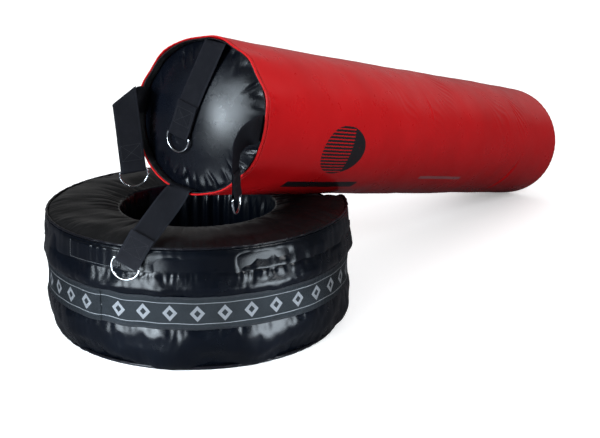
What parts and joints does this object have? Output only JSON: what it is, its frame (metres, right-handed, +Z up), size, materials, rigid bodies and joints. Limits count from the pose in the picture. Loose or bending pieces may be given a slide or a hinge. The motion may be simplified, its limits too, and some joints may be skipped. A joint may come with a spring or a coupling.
{
  "type": "heavy bag on a floor ring",
  "caption": "Red vinyl heavy punch bag with a padded black cap and webbing straps with D-rings, leaning with its top on a padded black ring base",
  "frame": {"origin": "centre of the bounding box's underside, on the floor", "axes": "+Z up, +Y away from the strapped end along the longer side of the plan, +X to the right"},
  "size_m": [1.4698, 1.7388, 0.75],
  "materials": {
    "ring_vinyl": "glossy black PVC",
    "ring_top_vinyl": "matt grained black PVC",
    "ring_base_vinyl": "matt black PVC",
    "ring_piping": "glossy black piping",
    "ring_stuffing": "packed textile waste",
    "ring_tape": "dark grey woven tape",
    "bag_red_vinyl": "glossy red PVC",
    "bag_hem_vinyl": "glossy red PVC, bound edge",
    "bag_cap_vinyl": "glossy black PVC",
    "bag_facing_vinyl": "dark grey vinyl facing",
    "bag_stuffing": "packed textile waste",
    "webbing": "black woven webbing",
    "steel_dee": "chromed steel wire"
  },
  "bodies": {
    "ring": {"ring_filling": "ring_stuffing", "ring_top_panel": "ring_top_vinyl", "ring_wall": "ring_vinyl", "ring_collar": "ring_vinyl", "ring_hole_lining": "ring_vinyl", "ring_base_panel": "ring_base_vinyl", "ring_top_welt": "ring_piping", "ring_bottom_welt": "ring_piping", "ring_belt_tape": "ring_tape", "ring_closure_flap": "ring_vinyl"},
    "bag": {"bag_filling": "bag_stuffing", "bag_sleeve": "bag_red_vinyl", "bag_hem": "bag_hem_vinyl", "bag_mouth_facing": "bag_facing_vinyl", "bag_top_cap": "bag_cap_vinyl", "bag_foot_panel": "bag_red_vinyl", "strap_root_top": "webbing", "strap_root_left": "webbing", "strap_root_front": "webbing", "strap_root_right": "webbing"},
    "strap_top": {"strap_top": "webbing"},
    "dee_top": {"dee_top": "steel_dee"},
    "strap_left": {"strap_left": "webbing"},
    "dee_left": {"dee_left": "steel_dee"},
    "strap_front": {"strap_front": "webbing"},
    "dee_front": {"dee_front": "steel_dee"},
    "strap_right": {"strap_right": "webbing"},
    "dee_right": {"dee_right": "steel_dee"}
  },
  "joints": [
    {"name": "bag_lift", "type": "slide", "parent": "ring", "child": "bag", "axis": [0, 0, 1], "range_m": [0, 0.6]},
    {"name": "strap_top_fold", "type": "hinge", "parent": "bag", "child": "strap_top", "pos_m": [-0.29586, -0.68547, 0.73155], "axis": [-0.7546, 0.6118, 0.2371], "range_deg": [0, 40]},
    {"name": "dee_top_swing", "type": "hinge", "parent": "strap_top", "child": "dee_top", "pos_m": [-0.3761, -0.7122, 0.5362], "axis": [-0.7546, 0.6118, 0.2371], "range_deg": [0, 150]},
    {"name": "strap_left_fold", "type": "hinge", "parent": "bag", "child": "strap_left", "pos_m": [-0.4696, -0.68129, 0.63595], "axis": [-0.9473, -0.3088, -0.0858], "range_deg": [0, 60]},
    {"name": "dee_left_swing", "type": "hinge", "parent": "strap_left", "child": "dee_left", "pos_m": [-0.4828, -0.6806, 0.4472], "axis": [-0.9473, -0.3088, -0.0858], "range_deg": [-80, 80]},
    {"name": "strap_front_fold", "type": "hinge", "parent": "bag", "child": "strap_front", "pos_m": [-0.37827, -0.73601, 0.41587], "axis": [-0.7911, 0.494, 0.3606], "range_deg": [0, 80]},
    {"name": "dee_front_swing", "type": "hinge", "parent": "strap_front", "child": "dee_front", "pos_m": [-0.4896, -0.8015, 0.2669], "axis": [-0.8652, 0.118, 0.4874], "range_deg": [0, 120]},
    {"name": "strap_right_fold", "type": "hinge", "parent": "bag", "child": "strap_right", "pos_m": [-0.2456, -0.8355, 0.4965], "axis": [0.2201, 0.9755, 0], "range_deg": [-15, 60]},
    {"name": "dee_right_swing", "type": "hinge", "parent": "strap_right", "child": "dee_right", "pos_m": [-0.2442, -0.8358, 0.4315], "axis": [0.2201, 0.9755, 0], "range_deg": [-80, 80]}
  ]
}
